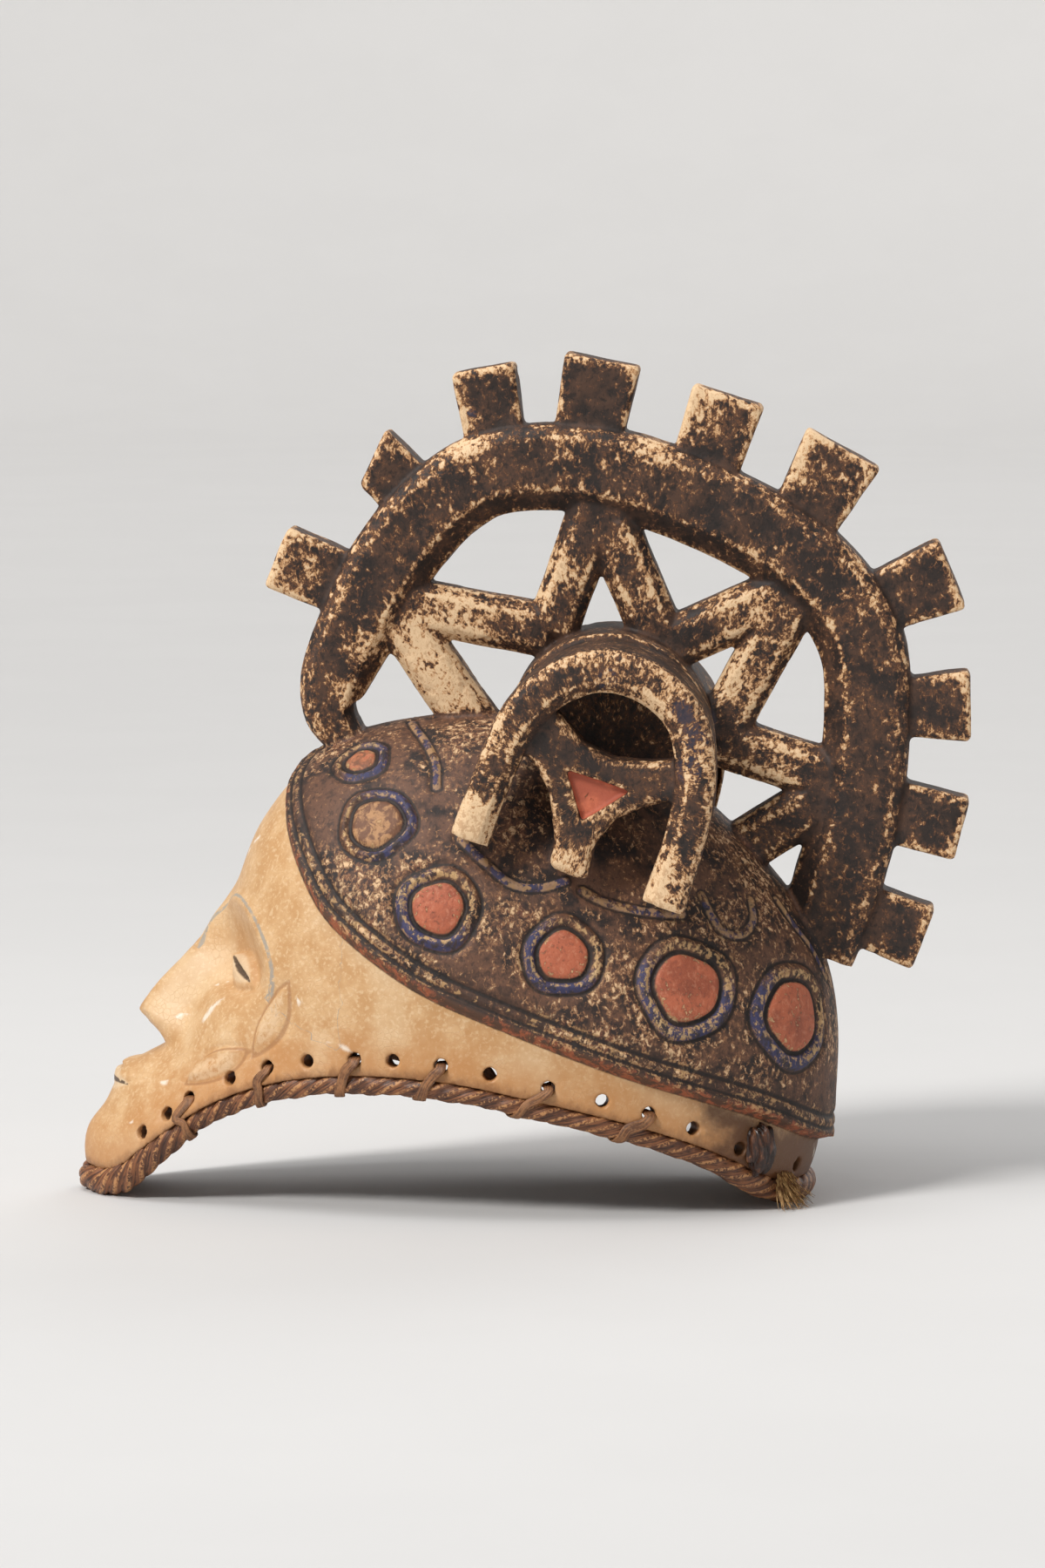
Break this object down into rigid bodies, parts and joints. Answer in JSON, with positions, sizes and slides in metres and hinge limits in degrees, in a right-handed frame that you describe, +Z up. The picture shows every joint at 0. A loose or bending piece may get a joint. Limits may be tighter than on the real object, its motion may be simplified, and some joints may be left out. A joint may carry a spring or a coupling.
{
  "type": "carved wooden helmet mask",
  "caption": "Carved wooden helmet mask: calm pale face, dark cap with round relief ornament, openwork pegged crest, side loops and a roll-bound rim.",
  "frame": {"origin": "on the floor, under the middle of the whole mask as it stands on its rim", "axes": "+Z up; the face looks towards -X; Y = 0 is the mask's plane of symmetry"},
  "size_m": [0.3738, 0.18, 0.3524],
  "materials": {
    "painted_wood": "matt ochre and black-brown paint, worn to pale wood on the edges",
    "roll_hide": "dark twisted hide, dull and dry",
    "lace_hide": "tan hide strip, slightly polished by handling",
    "resin": "glossy black-brown resin",
    "fibre": "dry straw-coloured fibre"
  },
  "bodies": {
    "root": {"carved_mask": "painted_wood", "rim_roll": "roll_hide", "lashing": "lace_hide", "binding_knot": "resin", "fibre_tuft": "fibre"}
  },
  "joints": []
}
